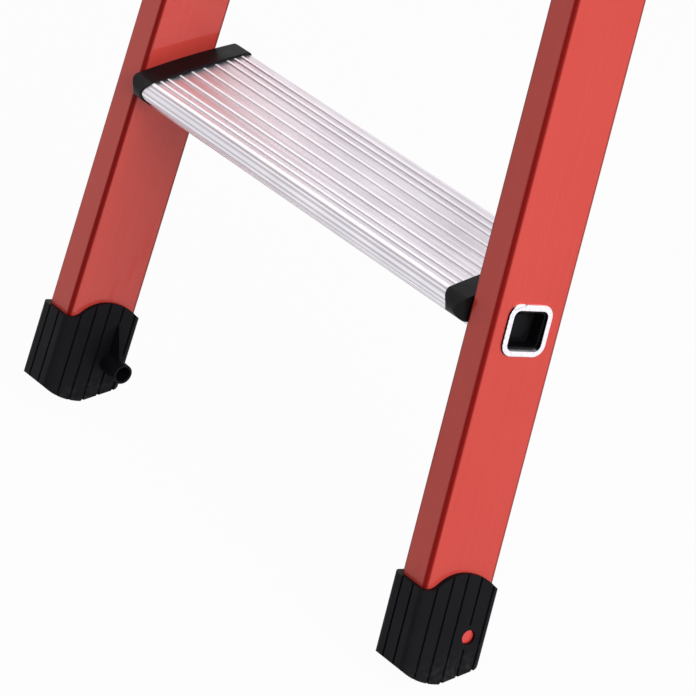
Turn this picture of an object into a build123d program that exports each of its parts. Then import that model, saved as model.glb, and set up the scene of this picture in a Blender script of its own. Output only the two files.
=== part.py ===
"""Double-sided stepladder: glass-fibre stiles, ribbed aluminium treads, moulded feet, caps and hinge heads.

Frame: X runs across the ladder, Y from the front section to the rear one, Z is up. The floor is Z = 0 and the
origin lies midway between the four feet. Each section is drawn upright in its own section frame (y is the depth
behind the front faces of the stiles, z the height along the section) and is then leaned inwards. A stile is drawn
in a stile frame of its own, because it also leans sideways by the flare. Right-hand front pieces are drawn, and
the others are their mirror images.
"""
import os
from math import atan, cos, degrees, radians, sin

from build123d import *

# Driving dimensions in millimetres and degrees: the whole ladder
LEAN = 20.0
FLARE = 0.05
CLEAR_WIDTH = 392.0
TREAD_COUNT = 4
TREAD_PITCH = 229.0
PIVOT_RISE = 75.0
PIVOT_GAP = 22.0

# Stile profile
STILE_WIDTH = 24.0
STILE_DEPTH = 52.8
STILE_WALL = 3.5
STILE_CORNER = 3.0
STILE_START = 24.0
STILE_OVER = 10.0

# Tread plate, its nose, tail and ribs
TREAD_DEPTH = 80.0
NOSE_OVERHANG = 9.0
NOSE_RADIUS = 7.0
NOSE_WALL = 2.5
NOSE_LIP = 3.0
PLATE_THICK = 2.5
TAIL_THICK = 3.0
TAIL_DROP = 6.0
RIB_HEIGHT = 1.0
RIB_BASE = 2.4
RIB_CREST = 1.2
RIB_CLOSE = 5.5
RIB_CLOSE_COUNT = 3
RIB_WIDE_COUNT = 4
RIB_EDGE = 6.0
WEB_THICK = 2.0

# Square tube of the tread, its flared rim and its plug
TUBE_WIDE = 29.0
TUBE_HIGH = 28.5
TUBE_WALL = 1.6
TUBE_CORNER = 6.0
TUBE_DEPTH = 26.3
TUBE_DROP = 9.3
TUBE_FIT = 0.2
RIM_EDGE = 2.0
RIM_PROUD = 1.6
RIM_ROUND = 0.7
PLUG_FIT = 0.15
PLUG_LENGTH = 12.0
PLUG_SUNK = 0.6
PLUG_WALL = 1.5
PLUG_DISH = 9.0
PLUG_BOSS = 7.5
PLUG_BOSS_RISE = 2.0

# End caps of the treads
CAP_WIDTH = 18.0
CAP_FLOOR = 9.0
CAP_SKIN = 1.0
CAP_CROWN = 1.2
CAP_CORNER = 7.0
CAP_TAIL = 1.0
CAP_DROP = 8.0
CAP_ROUND = 2.5
CAP_FIT = 0.25

# Feet
FOOT_WALL = 3.4
FOOT_FIT = 0.1
FOOT_CORNER = 1.5
FOOT_TOP = 70.5
FOOT_ARCH = 10.5
ARCH_FRONT = 3.0
ARCH_REAR = 5.0
ARCH_SHIFT = 1.0
ARCH_ROOT = 8.0
TOE_RISE = 19.0
TOE_REACH = 29.0
TOE_SLOPE = 20.0
SOLE_LENGTH = 25.5
HEEL_RUN = 7.0
HEEL_RISE = 6.0
FOOT_RIB = 10.75
GROOVE_WIDTH = 1.6
GROOVE_DEPTH = 1.0
PEG_DEPTH = 41.0
PEG_HEIGHT = 39.0
PEG_RADIUS = 6.8
PEG_BORE = 5.3
PEG_LENGTH = 18.0
PEG_FLOOR = 2.0
FIN_THICK = 3.0
FIN_RISE = 30.0
PAD_RADIUS = 8.0
WELL_RADIUS = 4.8
WELL_FLOOR = 0.8
FOOT_PIN_HEAD = 4.5
FOOT_PIN_HEAD_THICK = 0.8
FOOT_PIN_SHANK = 2.6
FOOT_PIN_BARB = 3.2
FOOT_PIN_FIT = 0.1
FOOT_PIN_TAIL = 5.0

# Hinge heads, pins, clips and rivets
HEAD_WALL = 3.5
HEAD_FIT = 0.1
HEAD_SKIRT = 49.0
HEAD_TOP = 4.0
HEAD_ROUND = 2.5
EAR_RADIUS = 16.0
EAR_THICK = 7.0
EAR_ROOT = 32.0
TONGUE_THICK = 12.0
EAR_GAP = 0.4
PIN_RADIUS = 5.0
PIN_FIT_EAR = 0.03
PIN_FIT_TONGUE = 0.06
PIN_HEAD = 8.5
PIN_HEAD_THICK = 3.0
PIN_ROUND = 1.0
CLIP_RADIUS = 8.5
CLIP_THICK = 1.5
CLIP_GROOVE = 0.8
CLIP_FIT = 0.05
PIN_TIP = 2.0
RIVET_RADIUS = 2.4
RIVET_HEAD = 4.6
RIVET_DOME = 2.0
RIVET_FIT = 0.1
RIVET_LOW = 38.0
RIVET_HIGH = 12.0

# Webbing straps and their shoulder bolts
STRAP_TREAD = 2
STRAP_RISE = 48.5
STRAP_DEPTH = 30.0
STRAP_WIDTH = 25.0
STRAP_THICK = 1.6
STRAP_FIT = 0.2
BOLT_RADIUS = 4.0
BOLT_FIT = 0.1
SHOULDER_RADIUS = 9.0
SHOULDER_LENGTH = 4.0
WASHER_RADIUS = 11.0
WASHER_THICK = 1.5
BOLT_HEAD = 6.5
BOLT_HEAD_THICK = 4.0

# Sizes worked out from the driving dimensions
FLARE_ANGLE = degrees(atan(FLARE))
SIN_LEAN = sin(radians(LEAN))
COS_LEAN = cos(radians(LEAN))
COS_FLARE = cos(radians(FLARE_ANGLE))
STEP = TREAD_PITCH / COS_LEAN
PIVOT_DEPTH = STILE_DEPTH + PIVOT_GAP
PIVOT_HEIGHT = TREAD_COUNT * STEP + PIVOT_RISE
SPREAD = PIVOT_DEPTH * COS_LEAN + PIVOT_HEIGHT * SIN_LEAN
TAIL = TREAD_DEPTH - NOSE_OVERHANG
PLATE_FRONT = NOSE_RADIUS - NOSE_OVERHANG
PLATE_TOP = -RIB_HEIGHT
PLATE_UNDER = PLATE_TOP - PLATE_THICK
STILE_TOP = (PIVOT_HEIGHT + STILE_OVER) / COS_FLARE
FAR = 4.0 * STILE_DEPTH
FORK_HALF = TONGUE_THICK / 2 + EAR_GAP + EAR_THICK
STRAP_HEIGHT = STRAP_TREAD * TREAD_PITCH + CAP_SKIN + STRAP_RISE + STRAP_WIDTH / 2

STILE_FRAME = Pos(CLEAR_WIDTH / 2, 0, 0) * Rot(0, -FLARE_ANGLE, 0)
SECTION_FRAME = Pos(0, -SPREAD, 0) * Rot(-LEAN, 0, 0)


# Helpers

def block(x0, x1, y0, y1, z0, z1):
    """Box between two corners."""
    return Pos((x0 + x1) / 2, (y0 + y1) / 2, (z0 + z1) / 2) * Box(x1 - x0, y1 - y0, z1 - z0)


def rect(y0, y1, z0, z1):
    """Rectangle in a side view, between two corners."""
    return Pos((y0 + y1) / 2, (z0 + z1) / 2) * Rectangle(y1 - y0, z1 - z0)


def prism(sketch, x0, x1):
    """Side-view sketch (y, z) made solid from x0 to x1 across the ladder."""
    return Pos(x0, 0, 0) * extrude(Plane.YZ * sketch, amount=x1 - x0)


def rod(radius, x0, x1, y, z):
    """Round bar across the ladder."""
    return prism(Pos(y, z) * Circle(radius), x0, x1)


def inner_face(height):
    """X of the right stile's inner face at a height along the section."""
    return CLEAR_WIDTH / 2 - height * FLARE


def on_face(height, outward):
    """Height in the stile frame of the section point at that height, where x in the stile frame is outward."""
    return height / COS_FLARE - outward * FLARE


def tread_height(number):
    """Height along the section of a tread's top at the stiles' front faces."""
    return number * STEP


def tread_frame(number):
    """Level frame of a tread: y runs level to the rear, z is plumb, and z = 0 is the top of its ribs."""
    return Pos(0, 0, tread_height(number)) * Rot(LEAN, 0, 0)


def stile_side(outward):
    """Everything beyond the plane that lies outward of the right stile's inner face."""
    reach = 2 * FAR
    return STILE_FRAME * block(outward, outward + reach, -FAR, FAR + STILE_DEPTH, -FAR, STILE_TOP + FAR)


def tube_sketch(grow):
    """Side view of the tread tube, grown outwards or, with a negative value, shrunk."""
    return RectangleRounded(TUBE_WIDE + 2 * grow, TUBE_HIGH + 2 * grow, TUBE_CORNER + grow)


def tube_prism(number, grow, x0, x1):
    """Tread tube's outline as a solid in the section frame, square to the stile."""
    centre = Pos(TUBE_DEPTH, tread_height(number) - TUBE_DROP)
    return prism(centre * tube_sketch(grow), x0, x1)


def strap_height():
    """Height along the section of the strap bolts."""
    return (STRAP_HEIGHT + STRAP_DEPTH * SIN_LEAN) / COS_LEAN


# Stile

def profile_solid(grow, corner, z0, z1):
    """Rounded-rectangle bar round the stile's profile, in the stile frame."""
    outline = RectangleRounded(STILE_WIDTH + 2 * grow, STILE_DEPTH + 2 * grow, corner)
    bar = extrude(outline, amount=z1 - z0)
    return Pos(STILE_WIDTH / 2, STILE_DEPTH / 2, z0) * bar


def stile():
    """Hollow glass-fibre profile with its holes for tubes, pins, rivets and the strap bolt."""
    outer = profile_solid(0, STILE_CORNER, STILE_START, STILE_TOP)
    hollow = profile_solid(-STILE_WALL, STILE_CORNER - STILE_WALL / 2, STILE_START, STILE_TOP)
    body = STILE_FRAME * (outer - hollow)
    for number in range(1, TREAD_COUNT + 1):
        body -= tube_prism(number, TUBE_FIT, 0, CLEAR_WIDTH)
    pin_hole = rod(FOOT_PIN_SHANK + FOOT_PIN_FIT, STILE_WIDTH / 2, FAR, PEG_DEPTH, PEG_HEIGHT)
    body -= STILE_FRAME * pin_hole
    for height in rivet_heights():
        body -= STILE_FRAME * rod(RIVET_RADIUS + RIVET_FIT, -FAR, FAR, STILE_DEPTH / 2, height)
    body -= rod(BOLT_RADIUS + BOLT_FIT, 0, CLEAR_WIDTH, STRAP_DEPTH, strap_height())
    return body


# Tread

def rib_places():
    """Ribs stand close together at the nose and the tail and wide apart between."""
    front = [PLATE_FRONT + i * RIB_CLOSE for i in range(RIB_CLOSE_COUNT)]
    rear = [TAIL - RIB_EDGE - i * RIB_CLOSE for i in range(RIB_CLOSE_COUNT)]
    gap = (rear[-1] - front[-1]) / (RIB_WIDE_COUNT + 1)
    middle = [front[-1] + (i + 1) * gap for i in range(RIB_WIDE_COUNT)]
    return front + middle + rear[::-1]


def tube_place():
    """Tube's centre in the level frame of its tread."""
    level = TUBE_DEPTH * COS_LEAN - TUBE_DROP * SIN_LEAN
    plumb = -TUBE_DEPTH * SIN_LEAN - TUBE_DROP * COS_LEAN
    return Pos(level, plumb) * Rot(0, 0, -LEAN)


def web_place():
    """Level place of the web that carries the plate on the tube's rear upper corner."""
    corner = TUBE_DEPTH + TUBE_WIDE / 2 - TUBE_CORNER
    return corner * COS_LEAN + (TUBE_HIGH / 2 - TUBE_DROP) * SIN_LEAN


def web_foot():
    """Height in the level frame at which the web stands in the tube's upper wall."""
    corner = TUBE_DEPTH + TUBE_WIDE / 2 - TUBE_CORNER
    return (TUBE_HIGH / 2 - TUBE_DROP) * COS_LEAN - corner * SIN_LEAN - TUBE_WALL / 2


def nose_hook():
    """Rounded nose: half a ring, with a short lip turned back under the plate."""
    ring = Circle(NOSE_RADIUS) - Circle(NOSE_RADIUS - NOSE_WALL)
    front_half = rect(-NOSE_RADIUS, 0, -NOSE_RADIUS, NOSE_RADIUS)
    lip = rect(0, NOSE_LIP, -NOSE_RADIUS, NOSE_WALL - NOSE_RADIUS)
    return Pos(PLATE_FRONT, -NOSE_RADIUS) * ((ring & front_half) + lip)


def tread_profile():
    """Side view of the extrusion in its level frame: plate, ribs, nose, tail, web and tube."""
    profile = rect(PLATE_FRONT, TAIL, PLATE_UNDER, PLATE_TOP)
    profile += nose_hook()
    profile += rect(TAIL - TAIL_THICK, TAIL, -TAIL_DROP, PLATE_TOP)
    for place in rib_places():
        rib = Trapezoid(RIB_BASE, RIB_HEIGHT, degrees(atan(2 * RIB_HEIGHT / (RIB_BASE - RIB_CREST))))
        profile += Pos(place, PLATE_TOP + RIB_HEIGHT / 2) * rib
    profile += rect(web_place() - WEB_THICK / 2, web_place() + WEB_THICK / 2, web_foot(), PLATE_UNDER)
    profile += tube_place() * tube_sketch(0)
    return profile - tube_place() * tube_sketch(-TUBE_WALL)


def tube_rim(number):
    """Flared rim of the tube, flat on the stile's outer face."""
    height = on_face(tread_height(number) - TUBE_DROP, STILE_WIDTH)
    rim = extrude(Plane.YZ * tube_sketch(RIM_EDGE), amount=RIM_PROUD)
    rim = fillet(rim.faces().sort_by(Axis.X)[-1].edges(), RIM_ROUND)
    return STILE_FRAME * Pos(STILE_WIDTH, TUBE_DEPTH, height) * rim


def plate_end(number):
    """Half the length of a tread's plate."""
    return inner_face(tread_height(number)) - CAP_FLOOR - CAP_FIT


def tread(number):
    """One extrusion: the plate ends in the caps, and the tube goes on through the stile and is flared there."""
    end = plate_end(number)
    far = inner_face(0) + FAR
    tail_end = tube_prism(number, 0, end, far) - stile_side(STILE_WIDTH + RIM_PROUD)
    tail_end += tube_rim(number)
    tail_end -= tube_prism(number, -TUBE_WALL, end - TUBE_WALL, far)
    body = tread_frame(number) * prism(tread_profile(), -end, end)
    return body + tail_end + mirror(tail_end, about=Plane.YZ)


def cap_side_view():
    """Side view of a tread's end cap in the tread's level frame, with its crowned top and round nose."""
    front, rear = PLATE_FRONT, TAIL + CAP_TAIL
    edge = ThreePointArc((front, CAP_SKIN), ((front + rear) / 2, CAP_SKIN + CAP_CROWN), (rear, CAP_SKIN))
    edge += Polyline((rear, CAP_SKIN), (rear, -CAP_DROP), (front, -CAP_DROP), (front, CAP_SKIN))
    view = make_face(edge)
    view = fillet(view.vertices().group_by(Axis.X)[-1], CAP_ROUND)
    view += rect(front, front + NOSE_LIP + CAP_FIT + CAP_SKIN, -2 * NOSE_RADIUS - CAP_SKIN, -NOSE_RADIUS)
    return view + Pos(front, -NOSE_RADIUS) * Circle(NOSE_RADIUS + CAP_SKIN)


def cap_outline():
    """Everything inside the cap's outline from above: all its corners are round but the rear one on the tread."""
    width = CAP_WIDTH + CAP_FIT
    front, rear = -NOSE_OVERHANG - CAP_SKIN, TAIL + CAP_TAIL
    plan = Pos(width / 2, (front + rear) / 2) * Rectangle(width, rear - front)
    tread_rear = plan.vertices().sort_by_distance((0, rear))[0]
    corners = [corner for corner in plan.vertices() if corner != tread_rear]
    return extrude(fillet(corners, CAP_CORNER), amount=FAR, both=True)


def tread_cap(number):
    """Moulded cap over the right end of a tread, flush on the stile's inner face."""
    face = inner_face(tread_height(number))
    start = face - CAP_WIDTH
    pocket = rect(PLATE_FRONT, TAIL + CAP_FIT, -TAIL_DROP - CAP_FIT, CAP_FIT)
    pocket += Pos(PLATE_FRONT, -NOSE_RADIUS) * Circle(NOSE_RADIUS + CAP_FIT)
    pocket += rect(PLATE_FRONT, PLATE_FRONT + NOSE_LIP + CAP_FIT, -2 * NOSE_RADIUS - CAP_FIT, -NOSE_RADIUS)
    web = WEB_THICK / 2 + CAP_FIT
    pocket += rect(web_place() - web, web_place() + web, web_foot(), PLATE_UNDER)
    cap = prism(cap_side_view(), start, face + CAP_FLOOR) & Pos(start, 0, 0) * cap_outline()
    cap = tread_frame(number) * (cap - prism(pocket, start, face - CAP_FLOOR))
    cap -= tube_prism(number, CAP_FIT, 0, CLEAR_WIDTH)
    return cap - stile_side(0)


def tube_plug(number):
    """Dished plug in the right mouth of a tread tube, with a round boss on the floor of the dish."""
    height = tread_height(number) - TUBE_DROP
    mouth = inner_face(height) + STILE_WIDTH / COS_FLARE - PLUG_SUNK
    plug = tube_prism(number, -TUBE_WALL - PLUG_FIT, mouth - PLUG_LENGTH, mouth)
    dish = tube_prism(number, -TUBE_WALL - PLUG_FIT - PLUG_WALL, mouth - PLUG_DISH, mouth)
    boss = rod(PLUG_BOSS, mouth - PLUG_DISH, mouth - PLUG_DISH + PLUG_BOSS_RISE, TUBE_DEPTH, height)
    return plug - (dish - boss)


# Foot

def floor_point(level, plumb):
    """Section-frame (depth, height) of a point given level behind the stile's foot and plumb above the floor."""
    return (level * COS_LEAN - plumb * SIN_LEAN, level * SIN_LEAN + plumb * COS_LEAN)


def arch_flank(spring, crest):
    """Half of the arched top edge: a hollow arc from the level rim, then a round one to the crest."""
    run, rise = crest[0] - spring[0], crest[1] - spring[1]
    share = ARCH_ROOT * 2 * rise / (run ** 2 + rise ** 2)
    middle = (spring[0] + run * share, spring[1] + rise * share)
    return TangentArc(spring, middle, tangent=(run, 0)) + TangentArc(crest, middle, tangent=(-run, 0))


def foot_side_view():
    """Side view of the foot: sloping toe, flat sole, rounded heel and arched top edge."""
    front = -2 * FOOT_WALL
    rear = STILE_DEPTH + 2 * FOOT_WALL
    heel = floor_point(TOE_REACH + SOLE_LENGTH, 0)
    heel_end = floor_point(TOE_REACH + SOLE_LENGTH + HEEL_RUN, HEEL_RISE)
    toe = floor_point(TOE_REACH, 0)
    toe_end = (-FOOT_WALL, TOE_RISE)
    level = (COS_LEAN, SIN_LEAN)
    slope = radians(TOE_SLOPE)
    edge = TangentArc(heel, heel_end, tangent=level)
    crest = (STILE_DEPTH / 2 + ARCH_SHIFT, FOOT_TOP + FOOT_ARCH)
    rear_spring = (STILE_DEPTH + ARCH_REAR, FOOT_TOP)
    front_spring = (ARCH_FRONT, FOOT_TOP)
    edge += Polyline(heel_end, (rear, heel_end[1]), (rear, FOOT_TOP), rear_spring)
    edge += arch_flank(rear_spring, crest) + arch_flank(front_spring, crest)
    edge += Polyline(front_spring, (front, FOOT_TOP), (front, TOE_RISE), toe_end)
    edge += TangentArc(toe, toe_end, tangent=floor_point(-cos(slope), sin(slope)))
    edge += Line(toe, heel)
    return make_face(edge)


def groove_places(start, length):
    """Places of the grooves along a side, one rib apart."""
    return [start + FOOT_RIB * i for i in range(int(length / FOOT_RIB) + 1) if 0 < start + FOOT_RIB * i < length]


def foot_grooves():
    """Grooves down the four sides of the foot, in the stile frame."""
    low, high = -FAR, FOOT_TOP + FAR
    half = GROOVE_WIDTH / 2
    left, right = -FOOT_WALL, STILE_WIDTH + FOOT_WALL
    front, rear = -FOOT_WALL, STILE_DEPTH + FOOT_WALL
    cuts = []
    for place in groove_places(FOOT_RIB, rear - front):
        y = front + place
        cuts.append(block(right - GROOVE_DEPTH, right + FOOT_WALL, y - half, y + half, low, high))
        cuts.append(block(left - FOOT_WALL, left + GROOVE_DEPTH, y - half, y + half, low, high))
    for place in groove_places((right - left - FOOT_RIB) / 2, right - left):
        x = left + place
        cuts.append(block(x - half, x + half, front - FOOT_WALL, front + GROOVE_DEPTH, low, high))
        cuts.append(block(x - half, x + half, rear - GROOVE_DEPTH, rear + FOOT_WALL, low, high))
    pad = rod(PAD_RADIUS, STILE_WIDTH, right + FOOT_WALL, PEG_DEPTH, PEG_HEIGHT)
    return [cut - pad for cut in cuts]


def foot_peg():
    """Hollow peg on the inner side of the foot, with the fin that stiffens it."""
    root = -FOOT_WALL + GROOVE_DEPTH
    tip = -FOOT_WALL - PEG_LENGTH
    peg = rod(PEG_RADIUS, tip, root, PEG_DEPTH, PEG_HEIGHT)
    fin = Polyline((root, PEG_HEIGHT), (root, PEG_HEIGHT + FIN_RISE), (tip + PEG_FLOOR, PEG_HEIGHT), close=True)
    plate = extrude(Plane.XZ * make_face(fin), amount=FIN_THICK / 2, both=True)
    return peg + Pos(0, PEG_DEPTH, 0) * plate


def foot():
    """Right foot: a ribbed boot round the stile's end."""
    corner = STILE_CORNER + FOOT_CORNER
    boot = profile_solid(FOOT_WALL, corner, -FAR, FOOT_TOP + FOOT_ARCH + FOOT_WALL)
    boot -= foot_grooves()
    boot = STILE_FRAME * boot & prism(foot_side_view(), 0, CLEAR_WIDTH)
    boot += STILE_FRAME * foot_peg()
    well = profile_solid(FOOT_FIT, STILE_CORNER + FOOT_FIT, STILE_START - FOOT_FIT, FOOT_TOP + FAR)
    outside = STILE_WIDTH + 2 * FOOT_WALL
    pin_well = rod(WELL_RADIUS, STILE_WIDTH + WELL_FLOOR, outside, PEG_DEPTH, PEG_HEIGHT)
    hole = rod(FOOT_PIN_SHANK + FOOT_PIN_FIT, STILE_WIDTH, outside, PEG_DEPTH, PEG_HEIGHT)
    bore = rod(PEG_BORE, -FOOT_WALL - PEG_LENGTH, PEG_FLOOR - FOOT_WALL, PEG_DEPTH, PEG_HEIGHT)
    return boot - [STILE_FRAME * cut for cut in (well, pin_well, hole, bore)]


def foot_pin():
    """Snap pin that holds the foot: its head sits at the bottom of a well and its barb behind the stile's wall."""
    seat = STILE_WIDTH + WELL_FLOOR
    inside = STILE_WIDTH - STILE_WALL
    pin = rod(FOOT_PIN_SHANK, inside, seat, PEG_DEPTH, PEG_HEIGHT)
    pin += rod(FOOT_PIN_HEAD, seat, seat + FOOT_PIN_HEAD_THICK, PEG_DEPTH, PEG_HEIGHT)
    barb = Cone(FOOT_PIN_BARB, FOOT_PIN_SHANK / 2, FOOT_PIN_TAIL)
    pin += Pos(inside - FOOT_PIN_TAIL / 2, PEG_DEPTH, PEG_HEIGHT) * Rot(0, -90, 0) * barb
    return STILE_FRAME * pin


# Hinge

def pivot_x():
    """Middle of the right hinge across the ladder."""
    return inner_face(PIVOT_HEIGHT) + STILE_WIDTH / (2 * COS_FLARE)


def rivet_heights():
    """Heights of the two head rivets in the stile frame."""
    return [(PIVOT_HEIGHT - drop) / COS_FLARE for drop in (RIVET_LOW, RIVET_HIGH)]


def lug_view():
    """Side view of a hinge lug: round about the pivot and broad where it joins the socket."""
    root = STILE_DEPTH + HEAD_WALL / 2
    corners = ((root, PIVOT_HEIGHT - EAR_ROOT), (root, PIVOT_HEIGHT + EAR_RADIUS / 2),
               (PIVOT_DEPTH, PIVOT_HEIGHT + EAR_RADIUS), (PIVOT_DEPTH, PIVOT_HEIGHT - EAR_RADIUS))
    arm = make_face(Polyline(*corners, close=True))
    return arm + Pos(PIVOT_DEPTH, PIVOT_HEIGHT) * Circle(EAR_RADIUS)


def head_socket():
    """Closed cap over the stile's top end, in the section frame."""
    start = (PIVOT_HEIGHT - HEAD_SKIRT) / COS_FLARE
    shell = profile_solid(HEAD_WALL, STILE_CORNER + HEAD_WALL, start, STILE_TOP + HEAD_TOP)
    shell = fillet(shell.faces().sort_by(Axis.Z)[-1].edges(), HEAD_ROUND)
    shell -= profile_solid(HEAD_FIT, STILE_CORNER + HEAD_FIT, start, STILE_TOP + HEAD_FIT)
    for height in rivet_heights():
        shell -= rod(RIVET_RADIUS + RIVET_FIT, -FAR, FAR, STILE_DEPTH / 2, height)
    return STILE_FRAME * shell


def fork_head():
    """Front head: two ears that hold the pin."""
    inside = TONGUE_THICK / 2 + EAR_GAP
    head = head_socket()
    for x0, x1 in ((-FORK_HALF, -inside), (inside, FORK_HALF)):
        head += prism(lug_view(), pivot_x() + x0, pivot_x() + x1)
    bore = rod(PIN_RADIUS + PIN_FIT_EAR, 0, CLEAR_WIDTH, PIVOT_DEPTH, PIVOT_HEIGHT)
    return head - bore


def tongue_head():
    """Rear head: one tongue that turns on the pin between the ears."""
    half = TONGUE_THICK / 2
    head = head_socket() + prism(lug_view(), pivot_x() - half, pivot_x() + half)
    bore = rod(PIN_RADIUS + PIN_FIT_TONGUE, 0, CLEAR_WIDTH, PIVOT_DEPTH, PIVOT_HEIGHT)
    return head - bore


def hinge_pin():
    """Pin with a head outside and a groove for its clip inside."""
    outer = pivot_x() + FORK_HALF
    inner = pivot_x() - FORK_HALF
    tip = inner - CLIP_THICK - PIN_TIP
    head = rod(PIN_HEAD, outer, outer + PIN_HEAD_THICK, PIVOT_DEPTH, PIVOT_HEIGHT)
    head = fillet(head.faces().sort_by(Axis.X)[-1].edges(), PIN_ROUND)
    shaft = rod(PIN_RADIUS, tip, outer, PIVOT_DEPTH, PIVOT_HEIGHT)
    groove = rod(PIN_RADIUS, inner - CLIP_THICK, inner, PIVOT_DEPTH, PIVOT_HEIGHT)
    groove -= rod(PIN_RADIUS - CLIP_GROOVE, inner - CLIP_THICK, inner, PIVOT_DEPTH, PIVOT_HEIGHT)
    return head + (shaft - groove)


def hinge_clip():
    """Ring in the pin's groove, flat on the inner ear."""
    inner = pivot_x() - FORK_HALF
    ring = rod(CLIP_RADIUS, inner - CLIP_THICK, inner, PIVOT_DEPTH, PIVOT_HEIGHT)
    return ring - rod(PIN_RADIUS - CLIP_GROOVE + CLIP_FIT, inner - CLIP_THICK, inner, PIVOT_DEPTH, PIVOT_HEIGHT)


def head_rivet(height):
    """Through rivet with a domed head on both sides of the hinge head."""
    outer = STILE_WIDTH + HEAD_WALL
    rivet = rod(RIVET_RADIUS, -HEAD_WALL, outer, STILE_DEPTH / 2, height)
    for seat, turn in ((outer, 90), (-HEAD_WALL, -90)):
        dome = Cone(RIVET_HEAD, RIVET_HEAD / 2, RIVET_DOME, align=(Align.CENTER, Align.CENTER, Align.MIN))
        rivet += Pos(seat, STILE_DEPTH / 2, height) * Rot(0, turn, 0) * dome
    return STILE_FRAME * rivet


# Strap

def strap_face():
    """X of the strap's outer side, which lies on the bolts' shoulders."""
    return inner_face(strap_height()) - SHOULDER_LENGTH - STRAP_FIT


def strap_bolt():
    """Shoulder bolt through the stile that holds one end of the strap, in the section frame."""
    height = strap_height()
    seat = inner_face(height) - SHOULDER_LENGTH
    washer = strap_face() - STRAP_THICK - STRAP_FIT
    outside = inner_face(height) + STILE_WIDTH / COS_FLARE + BOLT_HEAD_THICK
    shoulder = rod(SHOULDER_RADIUS, seat, seat + 2 * SHOULDER_LENGTH, STRAP_DEPTH, height) - stile_side(0)
    nut = rod(BOLT_HEAD, outside - 2 * BOLT_HEAD_THICK, outside, STRAP_DEPTH, height) & stile_side(STILE_WIDTH)
    bolt = rod(BOLT_RADIUS, washer, outside, STRAP_DEPTH, height) + shoulder + nut
    bolt += rod(WASHER_RADIUS, washer - WASHER_THICK, washer, STRAP_DEPTH, height)
    head = rod(BOLT_HEAD, washer - WASHER_THICK - BOLT_HEAD_THICK, washer - WASHER_THICK, STRAP_DEPTH, height)
    return bolt + fillet(head.faces().sort_by(Axis.X)[0].edges(), BOLT_HEAD_THICK / 2)


def strap():
    """Right webbing strap, pulled straight between the front and the rear bolt."""
    bolt_y = STRAP_DEPTH * COS_LEAN + strap_height() * SIN_LEAN - SPREAD
    band = SlotCenterToCenter(-2 * bolt_y, STRAP_WIDTH)
    for place in (-bolt_y, bolt_y):
        band -= Pos(place, 0) * Circle(BOLT_RADIUS + STRAP_FIT)
    return prism(Pos(0, STRAP_HEIGHT) * band, strap_face() - STRAP_THICK, strap_face())


# Assembly

def front(shape):
    """Section piece leaned into its place in the front section."""
    return SECTION_FRAME * shape


def rear(shape):
    """Section piece in its place in the rear section."""
    return mirror(front(shape), about=Plane.XZ)


def pair(name, shape):
    """Right-hand piece and its mirror image."""
    return {name.format("right"): shape, name.format("left"): mirror(shape, about=Plane.YZ)}


def section_nodes(section, place, head):
    """Every piece of one section, by node name."""
    nodes = {}
    numbers = range(1, TREAD_COUNT + 1)
    nodes.update(pair(section + "_stile_{}", place(stile())))
    for number in numbers:
        nodes[f"{section}_tread_{number}"] = place(tread(number))
        nodes.update(pair(f"{section}_tread_cap_{{}}_{number}", place(tread_cap(number))))
    plugs = Compound([place(tube_plug(number)) for number in numbers])
    nodes.update(pair(section + "_tube_plugs_{}", plugs))
    nodes.update(pair(section + "_foot_{}", place(foot())))
    nodes.update(pair(section + "_foot_pin_{}", place(foot_pin())))
    nodes.update(pair(section + "_hinge_head_{}", place(head)))
    nodes.update(pair(section + "_strap_bolt_{}", place(strap_bolt())))
    rivets = Compound([place(head_rivet(height)) for height in rivet_heights()])
    nodes[section + "_head_rivets"] = Compound([rivets, mirror(rivets, about=Plane.YZ)])
    return nodes


def all_nodes():
    """Every node of the ladder."""
    nodes = section_nodes("front", front, fork_head())
    nodes.update(section_nodes("rear", rear, tongue_head()))
    nodes.update(pair("hinge_pin_{}", front(hinge_pin())))
    nodes.update(pair("hinge_clip_{}", front(hinge_clip())))
    nodes.update(pair("strap_{}", strap()))
    return nodes


os.makedirs("parts", exist_ok=True)
for node, solid in all_nodes().items():
    export_step(solid, f"parts/{node}.step")
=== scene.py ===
# %% [markdown]
# Double-sided stepladder with red glass-fibre stiles
#
# The ladder's pieces come from the CAD frame at their real size and place, in metres. This lesson
# gives them their finishes, sews the two webbing straps, sets up a small white studio and puts
# the camera where the photographer stood. Each step says what the thing is on the real ladder,
# how it could be made, and why it is made this way.

# %% Load the frame
import math

import bmesh
import bpy
from mathutils import Euler, Matrix, Vector


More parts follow.
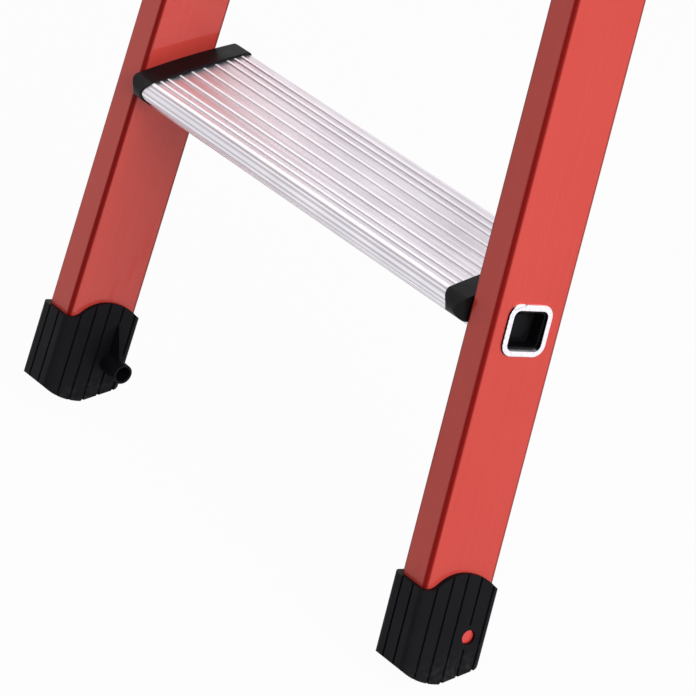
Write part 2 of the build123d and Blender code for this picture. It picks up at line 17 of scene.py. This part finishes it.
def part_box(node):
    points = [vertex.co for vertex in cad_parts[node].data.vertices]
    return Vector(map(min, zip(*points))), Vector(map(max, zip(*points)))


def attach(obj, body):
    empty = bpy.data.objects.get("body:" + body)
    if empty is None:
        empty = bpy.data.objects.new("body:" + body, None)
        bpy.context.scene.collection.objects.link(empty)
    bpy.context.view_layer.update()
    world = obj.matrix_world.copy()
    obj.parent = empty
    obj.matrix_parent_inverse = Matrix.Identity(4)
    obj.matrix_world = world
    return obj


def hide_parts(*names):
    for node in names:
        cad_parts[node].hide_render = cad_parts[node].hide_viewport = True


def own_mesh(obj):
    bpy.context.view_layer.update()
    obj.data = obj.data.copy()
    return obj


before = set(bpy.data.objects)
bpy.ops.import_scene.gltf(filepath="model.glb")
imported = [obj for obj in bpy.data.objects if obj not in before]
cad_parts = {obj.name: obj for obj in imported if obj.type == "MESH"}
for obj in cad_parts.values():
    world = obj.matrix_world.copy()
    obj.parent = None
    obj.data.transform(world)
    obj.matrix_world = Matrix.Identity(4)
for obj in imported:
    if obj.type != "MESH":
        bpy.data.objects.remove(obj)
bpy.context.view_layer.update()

# %% [markdown]
# The camera
#
# The photographer stood to the right and in front, a little above the ladder, with a long lens:
# the edges of a stile hardly converge. The viewing angles and the distance were fitted to the
# edges of the stiles and the first tread. A focal length in pixels is the natural unit for that
# fit, and the sensor turns it into a lens in millimetres.

# %% Camera at the photograph's viewpoint
IMAGE_SIZE = 696
FOCAL_PIXELS = 4850
CAMERA_PLACE = Vector((2.2229, -1.7636, 1.6094))
CAMERA_YAW = math.radians(56.881)
CAMERA_PITCH = math.radians(29.631)
CAMERA_ROLL = math.radians(-1.424)


def make_camera():
    """Camera that looks down at the feet and the first tread of the front section."""
    data = bpy.data.cameras.new("photo_camera")
    data.lens = data.sensor_width * FOCAL_PIXELS / IMAGE_SIZE
    data.clip_start = 0.1
    data.clip_end = 50
    camera = bpy.data.objects.new("photo_camera", data)
    turn = Matrix.Rotation(CAMERA_YAW, 4, "Z")
    tilt = Matrix.Rotation(math.pi / 2 - CAMERA_PITCH, 4, "X")
    roll = Matrix.Rotation(CAMERA_ROLL, 4, "Z")
    camera.matrix_world = Matrix.Translation(CAMERA_PLACE) @ turn @ tilt @ roll
    bpy.context.scene.collection.objects.link(camera)
    bpy.context.scene.camera = camera
    return camera


camera = make_camera()
print("lens", round(camera.data.lens, 1), "mm")

# %% [markdown]
# Sockets that do arithmetic
#
# A finish is a small net of nodes, and most of it is plain sums: a mask times a depth, one minus
# a mask. Wiring those by hand is hard to read. So a socket is wrapped in a class whose operators
# add the Math nodes, and one method makes every other node: its type, its settings, then what
# goes into its sockets.

# %% Shader helpers


class Value:
    """A node's output that can be used in arithmetic."""

    def __init__(self, finish, socket):
        self.finish = finish
        self.socket = socket

    def math(self, operation, first, second=0.0):
        return self.finish.node("Math", {"operation": operation}, {0: first, 1: second})

    def __add__(self, other):
        return self.math("ADD", self, other)

    def __sub__(self, other):
        return self.math("SUBTRACT", self, other)

    def __mul__(self, other):
        return self.math("MULTIPLY", self, other)

    def __truediv__(self, other):
        return self.math("DIVIDE", self, other)

    def __rsub__(self, other):
        return self.math("SUBTRACT", other, self)

    def __rtruediv__(self, other):
        return self.math("DIVIDE", other, self)

    def __abs__(self):
        return self.math("ABSOLUTE", self)

    def sine(self):
        return self.math("SINE", self)

    __radd__ = __add__
    __rmul__ = __mul__


class Finish:
    """One procedural material."""

    def __init__(self, name, **constants):
        self.material = bpy.data.materials.new(name)
        self.material.use_nodes = True
        self.tree = self.material.node_tree
        self.shader = self.tree.nodes["Principled BSDF"]
        self.surface(**constants)

    def node(self, kind, settings=None, inputs=None, output=0):
        """Adds a node: its settings first, then numbers, colours or other values into its sockets."""
        made = self.tree.nodes.new("ShaderNode" + kind)
        for name, value in (settings or {}).items():
            if name == "stops":
                self.fill_ramp(made.color_ramp, value)
            else:
                setattr(made, name, value)
        for name, value in (inputs or {}).items():
            self.feed(made.inputs[name], value)
        return Value(self, made.outputs[output])

    def fill_ramp(self, ramp, stops):
        """Places the stops of a colour ramp, as (position, grey)."""
        while len(ramp.elements) < len(stops):
            ramp.elements.new(1.0)
        for element, (position, grey) in zip(ramp.elements, stops):
            element.position = position
            element.color = (grey, grey, grey, 1.0)

    def feed(self, socket, value):
        """Links a value to a socket, or writes a constant on it."""
        if isinstance(value, Value):
            self.tree.links.new(value.socket, socket)
        else:
            socket.default_value = value

    def surface(self, **sockets):
        """Feeds the shader's sockets, named with underscores for spaces."""
        for name, value in sockets.items():
            self.feed(self.shader.inputs[name.replace("_", " ")], value)
        return self

    def mix(self, factor, first, second):
        """Colour between two colours."""
        return self.node("Mix", {"data_type": "RGBA"}, {0: factor, 6: first, 7: second}, output=2)

    def stretch(self, vector, scale):
        """Coordinates stretched along their axes."""
        return self.node("Mapping", {}, {"Vector": vector, "Scale": scale})

    def part(self, vector, axis):
        """One component of a vector: 0, 1 or 2 for x, y or z."""
        return self.node("SeparateXYZ", {}, {"Vector": vector}, output=axis)

    def noise(self, scale, detail=2.0, where=None):
        """Cloudy noise from 0 to 1 with blobs of about 1 / scale metres."""
        where = where or self.node("TexCoord", output="Object")
        return self.node("TexNoise", {}, {"Vector": where, "Scale": scale, "Detail": detail})

    def ramp(self, value, *stops):
        """Value remapped by a colour ramp of (position, grey) stops."""
        return self.node("ValToRGB", {"stops": stops}, {"Fac": value})

    def bump(self, height, distance, strength=1.0, normal=None):
        """Normal that follows a height field of that depth in metres."""
        inputs = {"Height": height, "Distance": distance, "Strength": strength}
        if normal is not None:
            inputs["Normal"] = normal
        return self.node("Bump", {}, inputs)


def colour(red, green, blue):
    """Linear colour from display values of 0 to 255."""
    def linear(level):
        share = level / 255
        return share / 12.92 if share <= 0.04045 else ((share + 0.055) / 1.055) ** 2.4
    return (linear(red), linear(green), linear(blue), 1.0)


print("shader helpers ready")

# %% [markdown]
# Red glass-fibre stiles
#
# A pultruded stile is drawn through a heated die: glass strands run lengthwise under a smooth
# coloured skin. A flat red would look like painted wood. Here faint lengthwise streaks vary the
# red, a shallow ripple stirs the layer below the clear coat, and the coat is thinner on the
# rounded corners, whose red is painted deeper and darker as shade. Hands and walls dull the outer
# faces, so the sheltered inner ones keep more gloss. Both masks come from the surface direction in
# the stile's own axes.

# %% Stile finish
LEAN = math.radians(20)
FLARE = math.atan(0.05)
SKIN_DARK = colour(204, 66, 57)
SKIN_PALE = colour(213, 75, 65)
# Deeper red painted on the rounded corners as shade.
CORNER_PAINTED_SHADE = colour(128, 14, 10)
COAT = 0.42
SHELTERED_COAT = 0.72
STRAND_SCALE = (900, 900, 14)
STRAND_DEPTH = 0.00004
SCUFF_SCALE = (60, 60, 9)


def stile_axes(finish, value, section, side):
    """Vector turned from the ladder's axes into those of one stile."""
    lean = -LEAN if section == "front" else LEAN
    flare = -FLARE if side == "right" else FLARE
    upright = Euler((lean, 0, 0)).to_matrix() @ Euler((0, flare, 0)).to_matrix()
    turn = upright.inverted().to_euler()
    return finish.node("Mapping", {"vector_type": "VECTOR"}, {"Vector": value, "Rotation": turn})


def stile_finish(section, side):
    """Glossy red skin over lengthwise strands."""
    name = f"stile_red_{section}_{side}"
    finish = Finish(name, Specular_IOR_Level=0.1, Coat_Roughness=0.04, Coat_IOR=1.5)
    along = stile_axes(finish, finish.node("TexCoord", output="Object"), section, side)
    facing = stile_axes(finish, finish.node("TexCoord", output="Normal"), section, side)
    between_faces = abs(finish.part(facing, 0) * finish.part(facing, 1)) * 2
    corner = finish.ramp(between_faces, (0.0, 0.0), (0.75, 1.0))
    inward = -1 if side == "right" else 1
    sheltered = finish.ramp(finish.part(facing, 0) * inward, (0.5, 0.0), (0.9, 1.0))
    gloss = COAT + sheltered * (SHELTERED_COAT - COAT)
    strands = finish.noise(1.0, 3.0, finish.stretch(along, STRAND_SCALE))
    clouds = finish.noise(9.0, 3.0)
    tone = finish.ramp(strands * 0.5 + clouds * 0.5, (0.3, 0.0), (0.7, 1.0))
    skin = finish.mix(tone, SKIN_DARK, SKIN_PALE)
    patches = finish.noise(1.0, 4.0, finish.stretch(along, SCUFF_SCALE))
    scuffs = finish.ramp(patches, (0.62, 0.0), (0.72, 1.0))
    finish.surface(
        # The rounded corners take a deeper red: painted shade.
        Base_Color=finish.mix(corner, skin, CORNER_PAINTED_SHADE),
        Roughness=0.34 + scuffs * 0.18,
        Coat_Weight=gloss * (1 - corner) * (1 - scuffs * 0.35),
        Normal=finish.bump(strands, STRAND_DEPTH, 0.35),
    )
    return finish.material


print("stile finish ready")

# %% [markdown]
# Dressing the CAD pieces
#
# A CAD piece keeps its mesh, and only its material slots change. Its faces could be given
# different finishes, but each piece here is of one material, so one small function paints any of
# them.

# %% Paint the stiles


def paint(node, material):
    """Puts one material on a CAD piece."""
    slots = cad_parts[node].data.materials
    slots.clear()
    slots.append(material)


SECTIONS = ("front", "rear")
SIDES = ("left", "right")
for section in SECTIONS:
    for side in SIDES:
        paint(f"{section}_stile_{side}", stile_finish(section, side))
print("stiles painted")

# %% [markdown]
# Aluminium treads
#
# The treads are one extrusion each. The die leaves fine lines along the length, handling dulls
# the plate in patches, and the rib crests are paler, partly as scuffs and partly as a painted
# highlight. A metal with stretched noise gives the die lines, and the height above the plate tells
# crest from groove. The rib flanks are painted grey as shade. Fine ribs run on down the nose, too
# small for the mesh, so a sine of the height makes them as bump and as painted shade in the grooves.
# The forward side of the flared tube mouth's outer edge, where it meets the stile, is painted dark
# as shade.

# %% Tread finish
TREADS = (1, 2, 3, 4)
TREAD_PITCH = 0.229
RIB_HEIGHT = 0.001
NOSE_RIB = 0.0029
NOSE_RIB_DEPTH = 0.0003
RIM_RISE = 0.0035
DIE_LINE_SCALE = (12, 2600, 2600)
DIE_LINE_DEPTH = 0.00003
STREAK_SCALE = (5, 500, 500)
PLATE_BRIGHT = colour(250, 247, 252)
PLATE_DULL = colour(218, 213, 221)
# Rib crests: paler as scuffed metal and as a painted highlight.
CREST_SCUFF_AND_HIGHLIGHT = colour(252, 250, 253)
# Painted shade on the rib flanks and in the nose grooves.
FLANK_PAINTED_SHADE = colour(150, 146, 153)
# Painted shade on the forward side of the tube mouth's outer edge.
RIM_PAINTED_SHADE = colour(38, 30, 32)


def tread_finish(section, number):
    """Extruded aluminium: crests paler as scuffs and painted highlight, painted shade on flanks, nose
    grooves and tube mouth.
    """
    finish = Finish(f"{section}_tread_{number}_aluminium", Metallic=1.0)
    place = finish.node("TexCoord", output="Object")
    height = finish.part(place, 2)
    plate_top = number * TREAD_PITCH - RIB_HEIGHT
    rise = (height - plate_top) / RIB_HEIGHT
    crest = finish.ramp(rise, (0.5, 0.0), (0.9, 1.0))
    flank = finish.ramp(rise, (0.0, 0.0), (0.12, 1.0), (0.5, 1.0), (0.85, 0.0))
    lines = finish.noise(1.0, 3.0, finish.stretch(place, DIE_LINE_SCALE))
    bands = finish.noise(1.0, 2.0, finish.stretch(place, STREAK_SCALE))
    streaks = finish.ramp(bands, (0.35, 0.0), (0.65, 1.0))
    dull = finish.ramp(finish.noise(22.0, 4.0), (0.35, 0.0), (0.75, 1.0))
    facing = finish.node("TexCoord", output="Normal")
    forward = -1 if section == "front" else 1
    nose = finish.ramp(finish.part(facing, 1) * forward, (0.15, 0.0), (0.45, 1.0))
    wave = (height * (2 * math.pi / NOSE_RIB)).sine()
    grooves = nose * finish.ramp(wave, (0.1, 0.0), (0.8, 1.0))
    rim_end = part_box(f"{section}_tread_{number}")[1].x - RIM_RISE
    past_stile = (abs(finish.part(place, 0)) - rim_end) / RIM_RISE
    rim = finish.ramp(past_stile, (0.0, 0.0), (0.1, 1.0))
    edge = finish.ramp(abs(finish.part(facing, 0)), (0.65, 1.0), (0.95, 0.0))
    # Painted shade where the tube mouth's outer edge faces forward, next to the stile.
    rim_shade = rim * nose * edge
    plate = finish.mix(dull * 0.4 + streaks * 0.6, PLATE_BRIGHT, PLATE_DULL)
    # Crests paler, partly as scuffs and partly as painted highlight.
    metal = finish.mix(crest, plate, CREST_SCUFF_AND_HIGHLIGHT)
    # Painted shade: the rib flanks and nose grooves are darkened to grey.
    worn_and_shaded = finish.mix(flank * 0.7 + grooves * 0.5, metal, FLANK_PAINTED_SHADE)
    lined = finish.bump(lines, DIE_LINE_DEPTH, 0.4)
    finish.surface(
        Base_Color=finish.mix(rim_shade, worn_and_shaded, RIM_PAINTED_SHADE),
        Roughness=0.42 + lines * 0.12 + dull * 0.08 + crest * 0.3,
        Normal=finish.bump(grooves, NOSE_RIB_DEPTH, 0.6, lined),
    )
    return finish.material


for section in SECTIONS:
    for number in TREADS:
        paint(f"{section}_tread_{number}", tread_finish(section, number))
print("treads painted")

# %% [markdown]
# Black moulded pieces
#
# Caps, plugs, hinge heads and feet are all black, yet not alike: caps are a fine-grained hard
# plastic, feet a softer rubber that holds dust near the floor. One flat black would hide their
# edges and ribs. Here the grain is a noise used as bump, which spreads the highlights, and the
# tone lifts slightly in patches.

# %% Black plastic and rubber
RUB_SCALE = 45.0
GRAIN_DEPTH = 0.00006
PLASTIC_GLOSS = 0.13
RUBBER_GLOSS = 0.08
RUBBER_DARK = colour(8, 8, 11)
RUBBER_PALE = colour(19, 18, 23)
DUST_HEIGHT = 0.02
DUST_GREY = colour(84, 82, 80)


def rubbed_patches(finish):
    """Mask of the patches that hands and shoes rub."""
    return finish.ramp(finish.noise(RUB_SCALE, 4.0), (0.5, 0.0), (0.8, 1.0))


def grained(name, grain, roughness, gloss):
    """Moulded surface with a fine grain, smoother where it is rubbed."""
    finish = Finish(name, Specular_IOR_Level=gloss)
    pits = finish.noise(grain, 2.0)
    return finish.surface(
        Roughness=roughness - rubbed_patches(finish) * 0.12 + pits * 0.08,
        Normal=finish.bump(pits, GRAIN_DEPTH, 0.5),
    )


def black_plastic(name, dark, worn_and_shaded, grain, roughness):
    """Hard black plastic, paler where it is rubbed."""
    finish = grained(name, grain, roughness, PLASTIC_GLOSS)
    return finish.surface(Base_Color=finish.mix(rubbed_patches(finish), dark, worn_and_shaded)).material


def foot_rubber():
    """Black rubber with floor dust on its lowest part."""
    finish = grained("foot_rubber", 1500.0, 0.5, RUBBER_GLOSS)
    height = finish.part(finish.node("TexCoord", output="Object"), 2)
    low = finish.ramp(height / DUST_HEIGHT, (0.0, 1.0), (1.0, 0.0))
    dust = low * finish.ramp(finish.noise(260.0, 4.0), (0.45, 0.0), (0.75, 1.0))
    rubber = finish.mix(finish.noise(70.0, 3.0), RUBBER_DARK, RUBBER_PALE)
    return finish.surface(Base_Color=finish.mix(dust * 0.3, rubber, DUST_GREY)).material


cap_plastic = black_plastic("cap_plastic", colour(9, 8, 11), colour(20, 19, 24), 1900.0, 0.42)
head_plastic = black_plastic("head_plastic", colour(12, 12, 14), colour(24, 24, 27), 1600.0, 0.46)
foot_black = foot_rubber()
for section in SECTIONS:
    for side in SIDES:
        paint(f"{section}_tube_plugs_{side}", cap_plastic)
        paint(f"{section}_foot_{side}", foot_black)
        paint(f"{section}_hinge_head_{side}", head_plastic)
        for number in TREADS:
            paint(f"{section}_tread_cap_{side}_{number}", cap_plastic)
print("black pieces painted")

# %% [markdown]
# Foot pins and zinc-plated steel
#
# The snap pins are a glossy red plastic. Rivets, bolts, hinge pins and clips are zinc-plated
# steel, whose thin plating shows faint blue and yellow clouds. A plain grey metal would look like
# chrome, so the clouds tint it and a fine grain, as bump, softens its reflections.

# %% Pins and steel
PIN_DARK = colour(206, 40, 34)
PIN_BRIGHT = colour(228, 56, 46)
ZINC_BLUE = colour(198, 201, 208)
ZINC_YELLOW = colour(206, 203, 192)


def pin_finish():
    """Glossy moulded red."""
    finish = Finish("pin_red", Coat_Weight=0.6, Coat_Roughness=0.12)
    clouds = finish.noise(400.0, 3.0)
    finish.surface(
        Base_Color=finish.mix(clouds, PIN_DARK, PIN_BRIGHT),
        Roughness=0.32 + clouds * 0.1,
        Normal=finish.bump(clouds, 0.00003, 0.3),
    )
    return finish.material


def zinc_finish():
    """Zinc plating with faint passivation colours."""
    finish = Finish("zinc_plated_steel", Metallic=1.0)
    clouds = finish.noise(120.0, 4.0)
    grain = finish.noise(3200.0, 2.0)
    clouded = finish.ramp(clouds, (0.35, 0.0), (0.7, 1.0))
    finish.surface(
        Base_Color=finish.mix(clouded, ZINC_BLUE, ZINC_YELLOW),
        Roughness=0.24 + clouds * 0.14,
        Normal=finish.bump(grain, 0.00002, 0.4),
    )
    return finish.material


foot_pin_red = pin_finish()
zinc = zinc_finish()
for section in SECTIONS:
    paint(f"{section}_head_rivets", zinc)
    for side in SIDES:
        paint(f"{section}_foot_pin_{side}", foot_pin_red)
        paint(f"{section}_strap_bolt_{side}", zinc)
for side in SIDES:
    paint(f"hinge_pin_{side}", zinc)
    paint(f"hinge_clip_{side}", zinc)
print("pins and steel painted")

# %% [markdown]
# Webbing straps
#
# Two woven straps keep the sections from sliding apart. Each is a flat band held by a bolt at
# both ends, where a folded tail doubles it and a boxed cross of thread sews it down. A stretched
# box with a cloth picture would show neither the sewn ends nor the hole. Here each layer starts
# flat: two circles round the bolt, the outer one squared off towards the middle, bridged to each
# other and to the far end. Then the layer is given its thickness and soft edges. When the ladder
# folds, the real strap crumples between its bolts. Layers and stitches are joined into one mesh.
# The stitches are part of the same mesh.

# %% Strap layers
LAYER = 0.0009
TAIL_LENGTH = 0.048
HOLE_RADIUS = 0.0042
RING_STEPS = 32
SOFT_EDGE = 0.00025
SHARP_ANGLE = 1.0


def band_end(shape, place, facing, half):
    """Flat end of a band round its bolt hole. Returns the edges of its square side."""
    rings = []
    for radius in (HOLE_RADIUS, half):
        rings.append(bmesh.ops.create_circle(shape, segments=RING_STEPS, radius=radius)["verts"])
    for vert in rings[1]:
        if vert.co.x > 0:
            vert.co *= half / max(abs(vert.co.x), abs(vert.co.y))
    outline = {edge for ring in rings for vert in ring for edge in vert.link_edges}
    bmesh.ops.bridge_loops(shape, edges=list(outline))
    side = [edge for edge in outline if all(abs(vert.co.x - half) < half / 1000 for vert in edge.verts)]
    for vert in rings[0] + rings[1]:
        vert.co.x = place + facing * vert.co.x
    return side


def verts_of(geometry):
    """Vertices among the parts that an extrude returns."""
    return [item for item in geometry if isinstance(item, bmesh.types.BMVert)]


def thicken(shape):
    """Turns the flat layer into a thin plate with soft edges."""
    raised = bmesh.ops.extrude_face_region(shape, geom=shape.faces[:])["geom"]
    bmesh.ops.translate(shape, vec=(0, 0, LAYER), verts=verts_of(raised))
    bmesh.ops.recalc_face_normals(shape, faces=shape.faces[:])
    rim = [edge for edge in shape.edges if edge.calc_face_angle(0) > SHARP_ANGLE]
    bmesh.ops.bevel(
        shape, geom=rim, offset=SOFT_EDGE, segments=2, profile=0.5, affect="EDGES", material=-1
    )


def full_layer(span, half):
    """Layer from bolt to bolt."""
    shape = bmesh.new()
    sides = band_end(shape, -span / 2, 1, half) + band_end(shape, span / 2, -1, half)
    bmesh.ops.bridge_loops(shape, edges=sides)
    thicken(shape)
    return shape


def tail_layer(span, half, end):
    """Folded tail at one end of the strap."""
    shape = bmesh.new()
    side = band_end(shape, end * span / 2, -end, half)
    run = bmesh.ops.extrude_edge_only(shape, edges=side)["geom"]
    reach = (-end * (TAIL_LENGTH - half), 0, 0)
    bmesh.ops.translate(shape, vec=reach, verts=verts_of(run))
    thicken(shape)
    return shape


print("strap layers ready")

# %% [markdown]
# Thread
#
# The sewing is a box with a cross in it, stitch by stitch. A drawn line of thread would look
# printed, so each stitch is a small flattened bead that catches the light. Beads of two dozen
# faces are enough at this size.

# %% Stitches
STITCH_LENGTH = 0.0030
STITCH_PITCH = 0.0036
STITCH_WIDTH = 0.0009
STITCH_RISE = 0.0004
BOX_START = 0.017
BOX_MARGIN = 0.004


def stitch_line(shape, start, end):
    """Row of stitches between two points."""
    run = Vector(end) - Vector(start)
    count = round(run.length / STITCH_PITCH)
    turn = Matrix.Rotation(math.atan2(run.y, run.x), 4, "Z")
    bead = Matrix.Diagonal((STITCH_LENGTH / 2, STITCH_WIDTH / 2, STITCH_RISE / 2, 1))
    for step in range(count):
        middle = Vector(start) + run * (step + 0.5) / count
        place = Matrix.Translation((middle.x, middle.y, 0)) @ turn @ bead
        bmesh.ops.create_uvsphere(shape, u_segments=6, v_segments=4, radius=1, matrix=place)


def sewn_box(span, half, end):
    """Boxed cross that sews a tail down."""
    shape = bmesh.new()
    near = end * (span / 2 - BOX_START)
    far = end * (span / 2 - TAIL_LENGTH + BOX_MARGIN)
    top = half - BOX_MARGIN
    corners = [(near, -top), (far, -top), (far, top), (near, top)]
    for index, corner in enumerate(corners):
        stitch_line(shape, corner, corners[(index + 1) % 4])
    stitch_line(shape, corners[0], corners[2])
    stitch_line(shape, corners[1], corners[3])
    return shape


print("stitches ready")

# %% [markdown]
# Weave
#
# Webbing shows yarns that pass over and under each other. Modelled yarns would need a great many
# faces, so a pattern makes them. It reads a UV map in metres, which stays with the cloth. A checker
# picks which yarn lies on top, and the sine of the place across that yarn gives its round back.

# %% Webbing and thread finishes
YARN = 0.0013
PICK = 0.0017
YARN_DEPTH = 0.0003
# Painted shade: the gaps between yarns darker, their backs paler.
YARN_SHADED = colour(18, 18, 20)
YARN_LIT = colour(62, 62, 66)
THREAD_DARK = colour(150, 150, 152)
THREAD_PALE = colour(205, 205, 204)


def webbing_finish():
    """Dark woven nylon, with the yarn backs painted paler and the gaps darker as shade."""
    finish = Finish("strap_webbing", Specular_IOR_Level=0.2, Sheen_Weight=0.2, Sheen_Roughness=0.5)
    cloth = finish.node("UVMap", {"uv_map": "cloth"})
    warp = abs((finish.part(cloth, 1) * (math.pi / YARN)).sine())
    weft = abs((finish.part(cloth, 0) * (math.pi / PICK)).sine())
    cells = finish.stretch(cloth, (1 / PICK, 1 / YARN, 1))
    over = finish.node("TexChecker", {}, {"Vector": cells, "Scale": 1.0}, output=1)
    yarns = warp * over + weft * (1 - over)
    fuzz = finish.noise(1.0, 3.0, finish.stretch(cloth, (700, 2500, 1)))
    finish.surface(
        # Yarn backs are painted paler and the gaps darker as shade; the fuzz varies the tone at random.
        Base_Color=finish.mix(yarns * 0.7 + fuzz * 0.3, YARN_SHADED, YARN_LIT),
        Roughness=0.72 + fuzz * 0.2,
        Normal=finish.bump(yarns, YARN_DEPTH, 0.8),
    )
    return finish.material


def thread_finish():
    """Pale twisted thread."""
    finish = Finish("strap_thread", Specular_IOR_Level=0.3)
    twist = finish.noise(2600.0, 2.0)
    finish.surface(
        Base_Color=finish.mix(twist, THREAD_DARK, THREAD_PALE),
        Roughness=0.6 + twist * 0.2,
        Normal=finish.bump(twist, 0.0001, 0.5),
    )
    return finish.material


webbing = webbing_finish()
thread = thread_finish()
print("strap finishes ready")

# %% [markdown]
# Hanging the straps
#
# A strap is built flat at the origin and turned upright into the box of its CAD piece, whose
# place it takes. It rides on the front section.

# %% Make both straps


def strap_parts(span, half, rise):
    """Layers and stitches of one strap, each with its lift and its material's index."""
    parts = [(full_layer(span, half), 0, 0)]
    for end in (-1, 1):
        parts.append((tail_layer(span, half, end), rise, 0))
        parts.append((sewn_box(span, half, end), 0, 1))
        parts.append((sewn_box(span, half, end), rise + LAYER, 1))
    return parts


def join_parts(parts):
    """One bmesh of all parts, with the flat places kept as a UV map."""
    whole = bmesh.new()
    cloth = whole.loops.layers.uv.new("cloth")
    for part, lift, slot in parts:
        bmesh.ops.translate(part, vec=(0, 0, lift), verts=part.verts[:])
        piece = bpy.data.meshes.new("strap_part")
        part.to_mesh(piece)
        part.free()
        known = len(whole.faces)
        whole.from_mesh(piece)
        bpy.data.meshes.remove(piece)
        whole.faces.ensure_lookup_table()
        for face in whole.faces[known:]:
            face.material_index = slot
            face.smooth = True
            for loop in face.loops:
                loop[cloth].uv = loop.vert.co.xy
    return whole


def make_strap(side):
    """One sewn strap in the place of its CAD piece."""
    low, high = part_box(f"strap_{side}")
    middle = (low + high) / 2
    half = (high.z - low.z) / 2
    span = high.y - low.y - 2 * half
    inward = -1 if side == "right" else 1
    outside = high.x if side == "right" else low.x
    upright = Matrix(((0, 0, inward, outside), (1, 0, 0, 0), (0, 1, 0, middle.z), (0, 0, 0, 1)))
    whole = join_parts(strap_parts(span, half, high.x - low.x - LAYER))
    bmesh.ops.transform(whole, matrix=upright, verts=whole.verts[:])
    bmesh.ops.recalc_face_normals(whole, faces=whole.faces[:])
    mesh = bpy.data.meshes.new(f"webbing_strap_{side}")
    whole.to_mesh(mesh)
    whole.free()
    mesh.materials.append(webbing)
    mesh.materials.append(thread)
    strap = bpy.data.objects.new(f"webbing_strap_{side}", mesh)
    bpy.context.scene.collection.objects.link(strap)
    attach(strap, "front_section")
    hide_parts(f"strap_{side}")
    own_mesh(strap)
    return strap


for side in SIDES:
    strap = make_strap(side)
    print(strap.name, len(strap.data.polygons), "faces")

# %% [markdown]
# The studio
#
# The photograph is cut out on white. A bright white room would also light the ladder from all
# sides and flatten it. So the Light Path node shows the white floor and world to the camera and
# in reflections only. All other light comes from the lamps and a low fill from the world. A
# little of the floor stays an ordinary surface, so it still catches the ladder's shadow.

# %% Floor, world and lamps
FLOOR_SIZE = 40.0
FLOOR_WHITE = (0.8, 0.8, 0.8, 1.0)
SHADOW_SHARE = 0.035


def seen_directly(tree):
    """Socket that is 1 for camera, glossy and transmission rays."""
    path = tree.nodes.new("ShaderNodeLightPath")
    total = path.outputs["Is Camera Ray"]
    for name in ("Is Glossy Ray", "Is Transmission Ray"):
        either = tree.nodes.new("ShaderNodeMath")
        either.operation = "MAXIMUM"
        tree.links.new(total, either.inputs[0])
        tree.links.new(path.outputs[name], either.inputs[1])
        total = either.outputs[0]
    return total


def make_floor():
    """Wide white floor that keeps a faint shadow."""
    mesh = bpy.data.meshes.new("floor")
    shape = bmesh.new()
    bmesh.ops.create_grid(shape, x_segments=1, y_segments=1, size=FLOOR_SIZE / 2)
    shape.to_mesh(mesh)
    shape.free()
    floor = bpy.data.objects.new("floor", mesh)
    bpy.context.scene.collection.objects.link(floor)
    material = bpy.data.materials.new("floor_white")
    material.use_nodes = True
    tree = material.node_tree
    tree.nodes.clear()
    matt = tree.nodes.new("ShaderNodeBsdfDiffuse")
    matt.inputs["Color"].default_value = FLOOR_WHITE
    glow = tree.nodes.new("ShaderNodeEmission")
    blend = tree.nodes.new("ShaderNodeMixShader")
    share = tree.nodes.new("ShaderNodeMath")
    share.operation = "MULTIPLY"
    share.inputs[1].default_value = 1 - SHADOW_SHARE
    end = tree.nodes.new("ShaderNodeOutputMaterial")
    tree.links.new(seen_directly(tree), share.inputs[0])
    tree.links.new(share.outputs[0], blend.inputs[0])
    tree.links.new(matt.outputs[0], blend.inputs[1])
    tree.links.new(glow.outputs[0], blend.inputs[2])
    tree.links.new(blend.outputs[0], end.inputs["Surface"])
    mesh.materials.append(material)
    return floor


def make_world(fill):
    """White to the eye and to reflections, and an even fill light otherwise."""
    world = bpy.data.worlds.new("studio")
    world.use_nodes = True
    tree = world.node_tree
    back = tree.nodes["Background"]
    back.inputs["Color"].default_value = (1, 1, 1, 1)
    level = tree.nodes.new("ShaderNodeMapRange")
    level.inputs["To Min"].default_value = fill
    level.inputs["To Max"].default_value = 1.0
    tree.links.new(seen_directly(tree), level.inputs["Value"])
    tree.links.new(level.outputs["Result"], back.inputs["Strength"])
    bpy.context.scene.world = world


def make_lamp(name, place, target, size, power, mirrored=True):
    """Square soft box that faces a point. One that isn't mirrored doesn't show in the gloss."""
    data = bpy.data.lights.new(name, "AREA")
    data.size = size
    data.energy = power
    lamp = bpy.data.objects.new(name, data)
    lamp.location = place
    lamp.visible_glossy = mirrored
    lamp.rotation_euler = (Vector(target) - Vector(place)).to_track_quat("-Z", "Y").to_euler()
    bpy.context.scene.collection.objects.link(lamp)


make_floor()
make_world(fill=0.1)
make_lamp("key_right", (5.0, -0.6, 2.4), (0.0, -0.2, 0.4), size=3.0, power=245)
make_lamp("front_left", (-1.3, -1.0, 0.4), (-0.1, -0.35, 0.25), size=0.8, power=5, mirrored=False)
make_lamp("overhead", (0.0, 0.0, 2.8), (0.0, 0.0, 0.5), size=2.0, power=14)
bpy.context.scene.view_settings.view_transform = "Standard"
print("studio ready")
